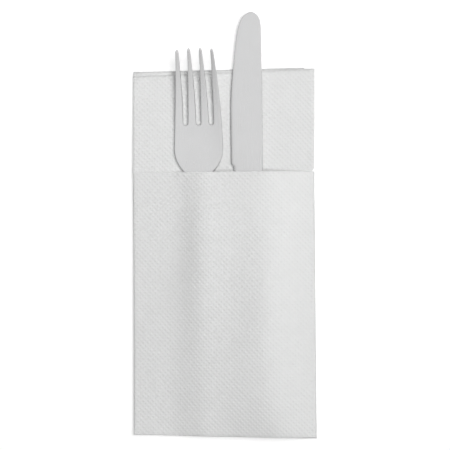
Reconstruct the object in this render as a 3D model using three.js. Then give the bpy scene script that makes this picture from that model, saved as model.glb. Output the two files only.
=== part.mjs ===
// A paper napkin folded into a pouch, with a table fork and a table knife resting in it.
// Millimetres. The napkin lies flat: +X across, +Y from the folded foot to the top edge, +Z up.
import * as THREE from "three";

// Napkin: the folded size, then the paper itself.
const NAPKIN_WIDTH = 101.4;
const NAPKIN_HEIGHT = 200;
const MOUTH_DROP = 55.5; // from the top edge down to the pouch's mouth
const REAR_PANEL = 98.8; // the rear panel reaches the right fold
const INNER_PANEL = 93.7; // the innermost panel stops short of it
const SHEET_THICK = 0.26;
const LAYER_GAP = 0.16; // air between neighbouring layers
const SETTLE_RUN = 48; // above the mouth the layers settle together over this run
const SETTLE_SHARE = 0.35; // and lose this share of their spacing by it
const TOP_SLANT = 2.5; // the front panel's top edge drops this far at the left fold
const FOOT_SLANT = 1.5; // and its foot climbs this far at the right fold
const REAR_DROP = 1.7; // the rear panel's top edge drops on by this much at its free edge
const INNER_CLIMB = 0.8; // the innermost panel's top edge climbs this far at its free edge
const SETTLE_CLEAR = 1; // from the mouth up to where the layers start to settle
const FOLD_SPREAD = 1.4; // above the mouth the left fold spreads this far
const FOLD_SPREAD_RUN = 3; // and it does so within this run

// How the paper drapes over the cutlery.
const REST_GAP = 0.3; // cutlery to the paper under it
const DRAPE_GAP = 1; // cutlery to the paper over it
const DRAPE_EASE = 3.4; // the drape's crown reaches this far past the cutlery's side
const DRAPE_NARROWING = 0.12; // the crown's half width lost for each mm below the mouth
const DRAPE_FOOT = 6; // the drape rounds over to the foot within this run
const DRAPE_VALLEY = 1.2; // least width of the valley between the two crowns

// Fork.
const FORK_LENGTH = 207.8;
const FORK_FOOT_GAP = 3.5; // from the pouch's foot to the end of the handle
const FORK_FOOT_X = -11.4;
const FORK_LEAN = 0.7; // degrees, to the left
const FORK_HANDLE_WIDTH = 18.5;
const FORK_HANDLE_THICK = 2.8;
const FORK_END_ROUND = 8;
const FORK_NECK_WIDTH = 7;
const FORK_NECK_THICK = 3.2;
const FORK_NECK_BACK = 30; // from the bowl's widest place back to the neck
const FORK_BOWL_WIDTH = 26.9;
const FORK_BOWL_THICK = 2;
const FORK_BOWL_BACK = 14.8; // from the roots of the tines back to the widest place
const FORK_SHOULDER = 19; // length of the bowl's round back
const FORK_SEAT_BACK = 9.8; // from the roots back to where the bowl touches the paper
const FORK_DISH = 0.9; // hollow across the bowl
const FORK_CROWN = 0.3; // share of the thickness lost from the middle to the sides
const FORK_CORNER = 0.35; // eased corners all round
const FORK_ARCH_RISE = 2; // the neck stands this far off the paper
const FORK_TIP_RISE = 9.5; // and the tips this far
const FORK_TIP_SPREAD = 20.8;
const FORK_TIP_THICK = 1.3;
const TINE_LENGTH = 40;
const TINE_GAP = 2.9;
const TINE_TIP_WIDTH = 1.6;
const TINE_TIP_ROUND = 1.6;
const TINE_OUTER_SHORT = 0.6; // the two outer tines end this far short of the inner ones

// Knife.
const KNIFE_LENGTH = 227.6;
const KNIFE_FOOT_GAP = 3.5; // from the pouch's foot to the end of the handle
const KNIFE_FOOT_X = 16;
const KNIFE_LEAN = 0.8; // degrees, to the left
const KNIFE_HANDLE_WIDTH = 18.5;
const KNIFE_HANDLE_THICK = 7.6;
const KNIFE_END_ROUND = 7;
const KNIFE_BELLY = 18; // from the end of the handle to its thickest place
const KNIFE_NECK_WIDTH = 15.4;
const KNIFE_NECK_THICK = 4.3;
const KNIFE_BLADE_LENGTH = 82;
const KNIFE_BLADE_WIDTH = 17.4;
const KNIFE_BLADE_SHIFT = 0.35; // blade's middle to the left of the handle's axis
const KNIFE_HEEL_RUN = 14; // from the neck to the heel of the blade
const KNIFE_NOTCH_RUN = 2; // the cutting edge steps in at the heel within this run
const KNIFE_SPINE_RUN = 20; // the spine runs on into the handle over this length
const KNIFE_SPINE_THICK = 1.9;
const KNIFE_TIP_THICK = 1.3;
const KNIFE_EDGE_THICK = 0.35;
const KNIFE_BEVEL = 1.2; // ground strip along the cutting edge
const KNIFE_SPINE_STRIP = 0.6; // rounded strip along the spine
const KNIFE_ROUNDNESS = 0.85; // below 1 the handle's section is fuller than an ellipse

const PITCH = SHEET_THICK + LAYER_GAP;
const HALF_SHEET = SHEET_THICK / 2;
const TOP = NAPKIN_HEIGHT / 2;
const FOOT = -NAPKIN_HEIGHT / 2;
const MOUTH = TOP - MOUTH_DROP;
const FOOT_AXIS = FOOT + PITCH + HALF_SHEET;
const MOUTH_AXIS = MOUTH - PITCH / 2 - HALF_SHEET;
const POUCH_LEFT = -NAPKIN_WIDTH / 2 + 5.5 * PITCH + HALF_SHEET;
const RIGHT_AXIS = NAPKIN_WIDTH / 2 - 2.5 * PITCH - HALF_SHEET;
const SETTLE_START = MOUTH + SETTLE_CLEAR;
const REST_HEIGHT = SHEET_THICK + 9 * PITCH + REST_GAP;
const FORK_FOOT_Y = FOOT + FORK_FOOT_GAP;
const KNIFE_FOOT_Y = FOOT + KNIFE_FOOT_GAP;

const { clamp, lerp, smoothstep, degToRad } = THREE.MathUtils;

// A smooth curve through [place, value] knots.
function through(knots, at) {
  const last = knots.length - 1;
  if (at <= knots[0][0]) return knots[0][1];
  if (at >= knots[last][0]) return knots[last][1];
  const i = knots.findIndex((k) => k[0] > at) - 1;
  const slope = (a, b) => (knots[b][1] - knots[a][1]) / (knots[b][0] - knots[a][0]);
  const start = slope(Math.max(i - 1, 0), i + 1);
  const end = slope(i, Math.min(i + 2, last));
  const span = knots[i + 1][0] - knots[i][0];
  const f = (at - knots[i][0]) / span;
  const g = 1 - f;
  const ends = knots[i][1] * g * g * (1 + 2 * f) + knots[i + 1][1] * f * f * (1 + 2 * g);
  return ends + span * f * g * (start * g - end * f);
}

function quad(triangles, a, b, c, d) {
  triangles.push([a, b, c], [a, c, d]);
}

// Skin between two rings of points that run the same way round.
function band(triangles, lower, upper) {
  const count = lower.length;
  for (let i = 0; i < count; i++) {
    const next = (i + 1) % count;
    quad(triangles, lower[i], lower[next], upper[next], upper[i]);
  }
}

function cap(triangles, ring) {
  for (let i = 1; i + 1 < ring.length; i++) triangles.push([ring[0], ring[i], ring[i + 1]]);
}

function addAll(points, added) {
  return added.map((p) => points.push(p) - 1);
}

function meshOf(name, points, triangles, material) {
  const geometry = new THREE.BufferGeometry();
  geometry.setAttribute("position", new THREE.Float32BufferAttribute(points.flat(), 3));
  geometry.setIndex(triangles.flat());
  geometry.computeVertexNormals();
  const mesh = new THREE.Mesh(geometry, material);
  mesh.name = name;
  return mesh;
}

// Fork, in its own frame: q runs from the end of the handle to the tips.
const FORK_ROOT = FORK_LENGTH - TINE_LENGTH;
const FORK_SEAT = FORK_ROOT - FORK_SEAT_BACK;
const FORK_WIDEST = FORK_ROOT - FORK_BOWL_BACK;
const FORK_NECK = FORK_WIDEST - FORK_NECK_BACK;

// Share of the full width just behind a rounded end.
function endRound(from, round, blunt) {
  if (from >= round) return 1;
  return Math.max(Math.sqrt(1 - (1 - Math.max(from, 0) / round) ** 2), blunt);
}

function forkHandleHalf(q) {
  const knots = [
    [0, FORK_HANDLE_WIDTH * 0.47],
    [FORK_NECK * 0.11, FORK_HANDLE_WIDTH * 0.5],
    [FORK_NECK * 0.34, FORK_HANDLE_WIDTH * 0.44],
    [FORK_NECK * 0.66, (FORK_HANDLE_WIDTH + FORK_NECK_WIDTH) * 0.2],
    [FORK_NECK, FORK_NECK_WIDTH / 2],
    [FORK_WIDEST, FORK_NECK_WIDTH / 2],
  ];
  return through(knots, q) * endRound(q, FORK_END_ROUND, 0.3);
}

function forkBowlHalf(q) {
  const back = (FORK_WIDEST - q) / FORK_SHOULDER;
  if (back >= 1) return 0;
  if (back > 0) return (FORK_BOWL_WIDTH / 2) * (1 - back * back);
  const f = (q - FORK_WIDEST) / (FORK_LENGTH - FORK_WIDEST);
  return lerp(FORK_BOWL_WIDTH, FORK_TIP_SPREAD, f ** 1.35) / 2;
}

function forkHalf(q) {
  const handle = q < FORK_WIDEST ? forkHandleHalf(q) : 0;
  return (handle ** 5 + forkBowlHalf(q) ** 5) ** 0.2;
}

// Height of the underside along the middle.
function forkRise(q) {
  if (q > FORK_SEAT) {
    return FORK_TIP_RISE * ((q - FORK_SEAT) / (FORK_LENGTH - FORK_SEAT)) ** 2;
  }
  return FORK_ARCH_RISE * Math.sin(Math.PI * (Math.max(q, 0) / FORK_SEAT) ** 1.4) ** 2;
}

function forkThick(q) {
  const knots = [
    [0, FORK_HANDLE_THICK * 0.8],
    [FORK_NECK * 0.2, FORK_HANDLE_THICK],
    [FORK_NECK, FORK_NECK_THICK],
    [FORK_WIDEST, FORK_BOWL_THICK],
    [FORK_ROOT, FORK_BOWL_THICK * 0.95],
    [FORK_LENGTH, FORK_TIP_THICK],
  ];
  return through(knots, q);
}

function forkDish(q) {
  const up = smoothstep(q, FORK_WIDEST - FORK_SHOULDER, FORK_ROOT - FORK_SEAT_BACK);
  return FORK_DISH * up;
}

// How much thinner the handle is at its sides than in the middle.
function forkCrown(q) {
  return FORK_CROWN * forkThick(q) * (1 - smoothstep(q, FORK_NECK, FORK_WIDEST));
}

// A point of the fork: level 0 is its underside and 1 its face.
function forkPoint(x, q, level) {
  const share = x / forkHalf(q);
  const thick = forkThick(q) - forkCrown(q) * share * share;
  return [x, q, forkRise(q) + forkDish(q) * share * share + thick * level];
}

// The four tines' sides at q, as [left, right] pairs.
function tineSides(q) {
  const f = clamp((q - FORK_ROOT) / TINE_LENGTH, 0, 1);
  const rootWidth = (2 * forkHalf(FORK_ROOT) - 3 * TINE_GAP) / 4;
  const width = lerp(rootWidth, TINE_TIP_WIDTH, f ** 1.2);
  const step = (2 * forkHalf(q) - width) / 3;
  return [0, 1, 2, 3].map((i) => {
    const middle = (i - 1.5) * step;
    return [middle - width / 2, middle + width / 2];
  });
}

// The round that ends a gap between two tines, from its left side to its right.
function gapRound(left, right, ease) {
  const middle = (left + right) / 2;
  const radius = TINE_GAP / 2 + ease;
  return [0, 0.25, 0.5, 0.75, 1].map((turn) => {
    const angle = Math.PI * turn;
    return [middle - radius * Math.cos(angle), FORK_ROOT - radius * Math.sin(angle)];
  });
}

// Places across the roots: both outer sides and, between them, the rounds of the three gaps.
function rootPlaces() {
  const sides = tineSides(FORK_ROOT);
  const places = [[sides[0][0] + FORK_CORNER, FORK_ROOT]];
  for (const i of [0, 1, 2]) places.push(...gapRound(sides[i][1], sides[i + 1][0], FORK_CORNER));
  places.push([sides[3][1] - FORK_CORNER, FORK_ROOT]);
  return places;
}

// Ring round the solid part: the face, the right side, the underside, the left side.
function forkRing(places, half, middle) {
  const face = places.map(([x, q]) => forkPoint(x, q, 1));
  const under = places.map(([x, q]) => forkPoint(x, q, 0)).reverse();
  return [...face, forkPoint(half, middle, 0.5), ...under, forkPoint(-half, middle, 0.5)];
}

function forkSolid(points, triangles) {
  const roots = rootPlaces();
  const rootHalf = forkHalf(FORK_ROOT);
  const inner = rootHalf - FORK_CORNER;
  const steps = [0, 0.005, 0.018, 0.055, 0.11, 0.19, 0.29, 0.4, 0.51, 0.62, 0.72, 0.8, 0.855];
  const stations = [...steps, 0.885, 0.905, 0.93, 0.96, 1].map((f) => f * FORK_WIDEST);
  const rings = [...stations, FORK_ROOT - 1.7 * TINE_GAP].map((q) => {
    const half = forkHalf(q);
    const places = roots.map(([x]) => [(x / inner) * (half - FORK_CORNER), q]);
    return addAll(points, forkRing(places, half, q));
  });
  rings.push(addAll(points, forkRing(roots, rootHalf, FORK_ROOT)));
  for (let r = 0; r + 1 < rings.length; r++) band(triangles, rings[r], rings[r + 1]);
  const count = roots.length;
  const foot = rings[0];
  for (let i = 0; i + 1 < count; i++) {
    quad(triangles, foot[i], foot[2 * count - i], foot[2 * count - i - 1], foot[i + 1]);
  }
  triangles.push([foot[2 * count + 1], foot[2 * count], foot[0]]);
  triangles.push([foot[count], foot[count - 1], foot[count + 1]]);
  return rings[rings.length - 1];
}

// Walls of the rounds between the tines; returns the middle line of each wall.
function gapWalls(points, triangles, ring) {
  const count = (ring.length - 2) / 2;
  const sides = tineSides(FORK_ROOT);
  return [0, 1, 2].map((gap) => {
    const line = gapRound(sides[gap][1], sides[gap + 1][0], 0);
    const middle = addAll(points, line.map(([x, q]) => forkPoint(x, q, 0.5)));
    for (let k = 0; k < 4; k++) {
      const c = 1 + 5 * gap + k;
      quad(triangles, ring[c], ring[c + 1], middle[k + 1], middle[k]);
      quad(triangles, middle[k], middle[k + 1], ring[2 * count - c - 1], ring[2 * count - c]);
    }
    return middle;
  });
}

function tineEnd(tine) {
  return tine === 0 || tine === 3 ? FORK_LENGTH - TINE_OUTER_SHORT : FORK_LENGTH;
}

function tineRing(q, tine) {
  const shrink = endRound(tineEnd(tine) - q, TINE_TIP_ROUND, 0.35);
  const [a, b] = tineSides(q)[tine];
  const middle = (a + b) / 2;
  const half = ((b - a) / 2) * shrink;
  const inside = half - FORK_CORNER * shrink;
  const high = 0.5 + 0.5 * shrink;
  const low = 1 - high;
  const at = (dx, level) => forkPoint(middle + dx, q, level);
  const face = [at(-inside, high), at(inside, high), at(half, 0.5)];
  return [...face, at(inside, low), at(-inside, low), at(-half, 0.5)];
}

function forkTine(points, triangles, tine, rootRing) {
  let ring = rootRing;
  for (const f of [0.14, 0.3, 0.48, 0.66, 0.83, 0.96, 0.985, 1]) {
    const next = addAll(points, tineRing(lerp(FORK_ROOT, tineEnd(tine), f), tine));
    band(triangles, ring, next);
    ring = next;
  }
  cap(triangles, ring);
}

function makeFork(material) {
  const points = [];
  const triangles = [];
  const ring = forkSolid(points, triangles);
  const walls = gapWalls(points, triangles, ring);
  const count = (ring.length - 2) / 2;
  for (const tine of [0, 1, 2, 3]) {
    const a = 5 * tine;
    const right = tine === 3 ? ring[count] : walls[tine][0];
    const left = tine === 0 ? ring[2 * count + 1] : walls[tine - 1][4];
    const under = [ring[2 * count - a - 1], ring[2 * count - a]];
    forkTine(points, triangles, tine, [ring[a], ring[a + 1], right, ...under, left]);
  }
  const fork = meshOf("fork", points, triangles, material);
  fork.position.set(FORK_FOOT_X, FORK_FOOT_Y, REST_HEIGHT);
  fork.rotation.z = degToRad(FORK_LEAN);
  return fork;
}

// Knife, in its own frame: q runs from the end of the handle to the tip of the blade.
const KNIFE_HEEL = KNIFE_LENGTH - KNIFE_BLADE_LENGTH;
const KNIFE_NECK = KNIFE_HEEL - KNIFE_HEEL_RUN;

// The blade's two sides as [share of the blade's length from the tip, share of its half width].
const CUTTING_EDGE = [
  [0, 0.2], [0.018, -0.12], [0.044, -0.31], [0.1, -0.51], [0.19, -0.66],
  [0.27, -0.745], [0.35, -0.828], [0.48, -0.94], [0.62, -1], [1, -1],
];
const SPINE = [
  [0, 0.42], [0.004, 0.54], [0.018, 0.72], [0.044, 0.868],
  [0.07, 0.934], [0.12, 0.972], [0.32, 0.985], [0.45, 1],
];

function knifeHandleHalf(q) {
  const knots = [
    [0, KNIFE_HANDLE_WIDTH * 0.47],
    [KNIFE_BELLY, KNIFE_HANDLE_WIDTH * 0.5],
    [KNIFE_NECK * 0.5, (KNIFE_HANDLE_WIDTH + KNIFE_NECK_WIDTH) * 0.27],
    [KNIFE_NECK, KNIFE_NECK_WIDTH / 2],
    [KNIFE_HEEL, KNIFE_NECK_WIDTH / 2],
  ];
  return through(knots, q) * endRound(q, KNIFE_END_ROUND, 0.35);
}

// How far the section has turned from the handle's oval into the blade's wedge.
function knifeSharp(q) {
  return smoothstep(q, KNIFE_NECK, lerp(KNIFE_NECK, KNIFE_HEEL, 0.7));
}

function knifeSides(q) {
  const handle = knifeHandleHalf(q);
  const fromTip = (KNIFE_LENGTH - q) / KNIFE_BLADE_LENGTH;
  const left = (through(CUTTING_EDGE, fromTip) * KNIFE_BLADE_WIDTH) / 2 - KNIFE_BLADE_SHIFT;
  const right = (through(SPINE, fromTip) * KNIFE_BLADE_WIDTH) / 2 - KNIFE_BLADE_SHIFT;
  const notch = smoothstep(q, KNIFE_HEEL - KNIFE_NOTCH_RUN, KNIFE_HEEL);
  const flush = smoothstep(q, KNIFE_HEEL - KNIFE_SPINE_RUN, KNIFE_HEEL);
  return [lerp(-handle, left, notch), lerp(handle, right, flush)];
}

// Height of the knife's middle plane: the handle lies along the paper, the blade stands clear.
function knifeMiddle(q) {
  const f = (q - KNIFE_BELLY) / (KNIFE_NECK - KNIFE_BELLY);
  return lerp(KNIFE_HANDLE_THICK, KNIFE_NECK_THICK, f) / 2;
}

function knifeHalfThick(q) {
  const end = lerp(0.62, 1, Math.sqrt(clamp(q / KNIFE_BELLY, 0, 1)));
  const handle = knifeMiddle(Math.max(q, KNIFE_BELLY)) * end;
  const f = clamp((q - KNIFE_HEEL) / KNIFE_BLADE_LENGTH, 0, 1);
  const blade = lerp(KNIFE_SPINE_THICK, KNIFE_TIP_THICK, f) / 2;
  return lerp(handle, blade, knifeSharp(q));
}

// Half a section, from the cutting edge over the face to the spine, as [x, height] pairs.
function knifeHalfSection(q) {
  const [left, right] = knifeSides(q);
  const width = right - left;
  const thick = knifeHalfThick(q);
  const bevel = Math.min(KNIFE_BEVEL, width * 0.3);
  const strip = Math.min(KNIFE_SPINE_STRIP, width * 0.2);
  const edge = KNIFE_EDGE_THICK / 2;
  const blade = [
    [left, 0],
    [left + Math.min(edge, width * 0.1), edge],
    [left + bevel, thick * 0.5],
    [left + width * 0.55, thick * 0.78],
    [right - strip, thick],
    [right - strip * 0.2, thick * 0.8],
    [right, 0],
  ];
  const sharp = knifeSharp(q);
  return blade.map(([x, z], k) => {
    const angle = Math.PI * (1 - k / 6);
    const across = Math.sign(Math.cos(angle)) * Math.abs(Math.cos(angle)) ** KNIFE_ROUNDNESS;
    const oval = (left + right + across * width) / 2;
    return [lerp(oval, x, sharp), lerp(thick * Math.sin(angle) ** KNIFE_ROUNDNESS, z, sharp)];
  });
}

function knifeRing(q) {
  const half = knifeHalfSection(q);
  const middle = knifeMiddle(q);
  const face = half.map(([x, z]) => [x, q, middle + z]);
  const under = half.slice(1, 6).map(([x, z]) => [x, q, middle - z]);
  return [...face, ...under.reverse()];
}

function makeKnife(material) {
  const points = [];
  const triangles = [];
  const handle = [0, 0.006, 0.022, 0.055, 0.13, 0.3, 0.5, 0.7, 0.87, 1].map((f) => f * KNIFE_NECK);
  const heel = [0.25, 0.5, 0.7, 0.86, 0.93, 1].map((f) => lerp(KNIFE_NECK, KNIFE_HEEL, f));
  const tip = [0.82, 0.63, 0.45, 0.3, 0.2, 0.12, 0.066, 0.036, 0.015, 0.004, 0];
  const blade = tip.map((f) => KNIFE_LENGTH - f * KNIFE_BLADE_LENGTH);
  const rings = [...handle, ...heel, ...blade].map((q) => addAll(points, knifeRing(q)));
  for (let r = 0; r + 1 < rings.length; r++) band(triangles, rings[r], rings[r + 1]);
  cap(triangles, [...rings[0]].reverse());
  cap(triangles, rings[rings.length - 1]);
  const knife = meshOf("knife", points, triangles, material);
  knife.position.set(KNIFE_FOOT_X, KNIFE_FOOT_Y, REST_HEIGHT);
  knife.rotation.z = degToRad(KNIFE_LEAN);
  return knife;
}

// What the drape follows: each piece's foot, lean, half width, top, and crown across.
const LAID = [
  {
    x: FORK_FOOT_X,
    y: FORK_FOOT_Y,
    slope: Math.tan(degToRad(FORK_LEAN)),
    half: (q) => forkHalf(Math.max(q, FORK_END_ROUND)),
    top: (q) => forkRise(q) + forkThick(Math.max(q, FORK_NECK * 0.2)) + forkDish(q),
    crown: forkCrown,
  },
  {
    x: KNIFE_FOOT_X,
    y: KNIFE_FOOT_Y,
    slope: Math.tan(degToRad(KNIFE_LEAN)),
    half: (q) => Math.max(...knifeSides(Math.max(q, KNIFE_BELLY)).map(Math.abs)),
    top: (q) => knifeMiddle(q) + knifeHalfThick(Math.max(q, KNIFE_BELLY)),
    crown: (q) => 0.6 * knifeHalfThick(Math.max(q, KNIFE_BELLY)),
  },
];

// The two sides of the drape's crown over one piece, at height y of the napkin. Below the
// mouth the crown narrows slowly, so it bridges a narrow neck.
function crownSides(piece, y) {
  const axis = piece.x - piece.slope * (y - piece.y);
  const bridge = piece.half(MOUTH - piece.y) - DRAPE_NARROWING * (MOUTH - y);
  const half = Math.max(piece.half(y - piece.y), bridge) + DRAPE_EASE;
  return [axis - half, axis + half];
}

// Left fold, then both sides of the fork's and of the knife's crown, then the right fold.
function drapeLines(y) {
  const inPouch = clamp(y, FOOT, MOUTH);
  const [a, b] = crownSides(LAID[0], inPouch);
  const [c, d] = crownSides(LAID[1], inPouch);
  const between = (b + c) / 2;
  const right = Math.min(b, between - DRAPE_VALLEY / 2);
  const left = Math.max(c, between + DRAPE_VALLEY / 2);
  return [POUCH_LEFT, a, right, left, d, RIGHT_AXIS];
}

// Over a piece the drape is a shallow crown; past its sides it falls away to the side folds,
// starting with the crown's own slope.
function pieceLift(piece, x, y) {
  const q = y - piece.y;
  const [left, right] = crownSides(piece, y);
  const full = piece.top(q) + REST_GAP + DRAPE_GAP + SHEET_THICK - PITCH;
  const drop = piece.crown(q);
  const half = (right - left) / 2;
  const out = Math.abs(x - (left + right) / 2);
  const foot = endRound(y - FOOT_AXIS, DRAPE_FOOT, 0);
  if (out <= half) return foot * (full - drop * (out / half) ** 2);
  const run = x < left ? left - POUCH_LEFT : RIGHT_AXIS - right;
  const power = (2 * drop * run) / (half * (full - drop));
  const past = clamp((out - half) / run, 0, 1);
  return foot * (full - drop) * (1 - past) ** Math.max(power, 1);
}

function drapeLift(x, y) {
  return LAID.reduce((sum, piece) => sum + pieceLift(piece, x, y) ** 4, 0) ** 0.25;
}

// How far the layers stand apart: 1 where the pouch is, and less where only the backs are left.
function stand(y) {
  return 1 - SETTLE_SHARE * smoothstep(y, SETTLE_START, SETTLE_START + SETTLE_RUN);
}

// The left fold's middle, which spreads above the mouth.
function leftAxis(s, y) {
  const spread = FOLD_SPREAD * smoothstep(y, MOUTH, MOUTH + FOLD_SPREAD_RUN);
  return -NAPKIN_WIDTH / 2 + (2 * s + 3.5) * PITCH + HALF_SHEET - spread;
}

const heightOf = (level) => HALF_SHEET + PITCH * level;

// The sheet's course up and down: back, round the foot, front, over the mouth, hem inside.
// w is the distance from the back towards the pocket's front; (ny, nw) is the outer side.
function courseRows() {
  const rows = [];
  const flat = (y, w, side, front) => rows.push({ y, w, ny: 0, nw: side, front });
  const turn = (axis, w, radius, angle, front) => {
    const ny = Math.cos(degToRad(angle));
    const nw = Math.sin(degToRad(angle));
    rows.push({ y: axis + radius * ny, w: w + radius * nw, ny, nw, front });
  };
  flat(TOP, 0, -1, false);
  for (const f of [0.96, 0.84, 0.7, 0.56, 0.42, 0.28, 0.14, 0.04, 0]) {
    flat(SETTLE_START + SETTLE_RUN * f, 0, -1, false);
  }
  flat(MOUTH, 0, -1, false);
  flat(FOOT_AXIS, 0, -1, false);
  for (const angle of [-126, -162, -198, -234]) turn(FOOT_AXIS, PITCH, PITCH, angle, false);
  const hem = MOUTH - MOUTH_DROP;
  const round = [0, 0.05, 0.18, 0.45].map((f) => FOOT_AXIS + f * DRAPE_FOOT);
  const low = [0, 0.2, 0.4, 0.6, 0.8].map((f) => lerp(FOOT_AXIS + DRAPE_FOOT, hem, f));
  for (const y of [...round, ...low]) flat(y, 2 * PITCH, 1, true);
  const high = [0, 0.27, 0.53, 0.78, 0.93, 1].map((f) => lerp(hem, MOUTH_AXIS, f));
  for (const y of high) flat(y, 2 * PITCH, 1, true);
  for (const angle of [45, 0, -45]) turn(MOUTH_AXIS, 1.5 * PITCH, PITCH / 2, angle, true);
  for (const y of high.reverse()) flat(y, PITCH, -1, true);
  return rows;
}

// The sheet's course from side to side: rear panel, left fold, front panel, right fold, inner
// panel, left fold again, innermost panel. Each place gives x, z and the pocket's direction,
// and how far the sheet has slipped up at the foot and at the top.
function courseColumns() {
  const columns = [];
  const level = (x, z, up, foot, top) => {
    const at = (s, y) => [x(s, y), heightOf(z(s)), 0, up];
    columns.push({ foot: () => foot, top: () => top, at });
  };
  const turn = (x, z, radius, angle, inward, foot, top) => {
    const cos = Math.cos(degToRad(angle));
    const sin = Math.sin(degToRad(angle));
    const at = (s, y) => {
      const reach = radius(s);
      return [x(s, y) + reach * cos, heightOf(z(s)) + reach * sin, inward * cos, inward * sin];
    };
    columns.push({ foot: () => foot, top: () => top, at });
  };
  const leftZ = (s) => 4 * s + 1.5;
  level((s, y) => leftAxis(s, y) + REAR_PANEL, (s) => 2 * s, -1, 0, -TOP_SLANT - REAR_DROP);
  level(leftAxis, (s) => 2 * s, -1, 0, -TOP_SLANT);
  for (const angle of [240, 210, 180, 150, 120]) {
    turn(leftAxis, leftZ, (s) => (2 * s + 1.5) * PITCH, angle, 1, 0, -TOP_SLANT);
  }
  const spans = [[0, 0.3, 0.55, 0.78], [0, 0.5], [0, 0.5], [0, 0.5], [0, 0.2, 0.42, 0.7, 1]];
  spans.forEach((shares, span) => {
    for (const f of shares) columns.push(frontColumn(span, f));
  });
  for (const angle of [45, 0, -45]) {
    turn(() => RIGHT_AXIS, (s) => 6 * s + 2.5, () => PITCH / 2, angle, 1, FOOT_SLANT, 0);
  }
  level(() => RIGHT_AXIS, (s) => 6 * s + 2, -1, FOOT_SLANT, 0);
  level(leftAxis, (s) => 6 * s + 2, -1, 0, 0);
  for (const angle of [126, 162, 198, 234]) {
    turn(leftAxis, leftZ, (s) => (2 * s + 0.5) * PITCH, angle, -1, 0, 0);
  }
  level(leftAxis, (s) => 2 * s + 1, 1, 0, 0);
  level((s, y) => leftAxis(s, y) + INNER_PANEL, (s) => 2 * s + 1, 1, 0, INNER_CLIMB);
  return columns;
}

// A place across the front panel, which follows the drape lines.
function frontColumn(span, share) {
  const place = (s, y) => {
    const lines = drapeLines(y);
    lines[0] = leftAxis(s, y);
    return lerp(lines[span], lines[span + 1], share);
  };
  const across = (y) => (place(1, y) - leftAxis(1, y)) / (RIGHT_AXIS - leftAxis(1, y));
  return {
    draped: true,
    foot: (y) => FOOT_SLANT * across(y),
    top: (y) => TOP_SLANT * (across(y) - 1),
    at: (s, y) => [place(s, y), heightOf(6 * s + 3), 0, 1],
  };
}

// How far the sheet has slipped up at a place: all of it at the foot and at the top edge, and
// none at the mouth.
function slip(column, row) {
  const foot = column.foot(row.y);
  if (row.front) return lerp(foot, 0, clamp((row.y - FOOT) / (MOUTH - FOOT), 0, 1));
  return lerp(foot, column.top(row.y), (row.y - FOOT) / (TOP - FOOT));
}

function napkinPoint(column, row, side) {
  const slipped = slip(column, row);
  const [x, z, pocketX, pocketZ] = column.at(stand(row.y + slipped), row.y);
  const w = row.w + side * HALF_SHEET * row.nw;
  const y = row.y + side * HALF_SHEET * row.ny + slipped;
  const lift = column.draped && row.front ? drapeLift(x, row.y) : 0;
  return [x + w * pocketX, y, z + w * pocketZ + lift];
}

function makeNapkin(material) {
  const rows = courseRows();
  const columns = courseColumns();
  const points = [];
  const triangles = [];
  for (const side of [1, -1]) {
    for (const row of rows) points.push(...columns.map((column) => napkinPoint(column, row, side)));
  }
  const across = columns.length;
  const up = rows.length;
  const out = (i, j) => j * across + i;
  const inn = (i, j) => (up + j) * across + i;
  for (let j = 0; j + 1 < up; j++) {
    for (let i = 0; i + 1 < across; i++) {
      quad(triangles, out(i, j), out(i + 1, j), out(i + 1, j + 1), out(i, j + 1));
      quad(triangles, inn(i, j), inn(i, j + 1), inn(i + 1, j + 1), inn(i + 1, j));
    }
    quad(triangles, out(0, j), out(0, j + 1), inn(0, j + 1), inn(0, j));
    quad(triangles, out(across - 1, j + 1), out(across - 1, j), inn(across - 1, j), inn(across - 1, j + 1));
  }
  for (let i = 0; i + 1 < across; i++) {
    quad(triangles, out(i + 1, 0), out(i, 0), inn(i, 0), inn(i + 1, 0));
    quad(triangles, out(i, up - 1), out(i + 1, up - 1), inn(i + 1, up - 1), inn(i, up - 1));
  }
  return meshOf("napkin", points, triangles, material);
}

const paper = new THREE.MeshStandardMaterial({ color: 0xf3f3f1, roughness: 0.95, metalness: 0 });
const steel = new THREE.MeshStandardMaterial({ color: 0xc6c7c9, roughness: 0.3, metalness: 1 });

const part = new THREE.Group();
part.name = "cutlery_pouch_napkin";
part.add(makeNapkin(paper), makeFork(steel), makeKnife(steel));

export default part;
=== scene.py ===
"""A white embossed paper napkin folded into a pouch, with a steel fork and knife resting in it."""

import math

import bmesh
import bpy
import numpy as np
from bpy.props import FloatProperty, FloatVectorProperty, PointerProperty
from bpy.types import Operator, Panel, PropertyGroup
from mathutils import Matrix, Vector


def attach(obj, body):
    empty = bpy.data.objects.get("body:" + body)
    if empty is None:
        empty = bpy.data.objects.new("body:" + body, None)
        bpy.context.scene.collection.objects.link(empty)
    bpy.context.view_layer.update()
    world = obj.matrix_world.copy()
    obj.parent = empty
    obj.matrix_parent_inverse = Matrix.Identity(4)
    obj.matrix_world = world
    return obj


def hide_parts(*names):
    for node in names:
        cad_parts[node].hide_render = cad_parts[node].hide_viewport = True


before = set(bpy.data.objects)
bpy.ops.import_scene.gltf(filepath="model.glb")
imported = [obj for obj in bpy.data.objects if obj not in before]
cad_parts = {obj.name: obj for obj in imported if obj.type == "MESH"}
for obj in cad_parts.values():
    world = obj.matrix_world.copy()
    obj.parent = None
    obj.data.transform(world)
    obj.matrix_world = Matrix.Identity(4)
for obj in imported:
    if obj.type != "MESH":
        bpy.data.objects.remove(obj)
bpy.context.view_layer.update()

bl_info = {
    "name": "Cutlery pouch napkin",
    "version": (1, 0, 0),
    "blender": (4, 5, 0),
    "location": "3D View > Sidebar > Pouch napkin",
    "description": "A paper napkin folded into a pouch around a fork and a knife",
    "category": "Add Mesh",
}

MM = 0.001

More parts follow.
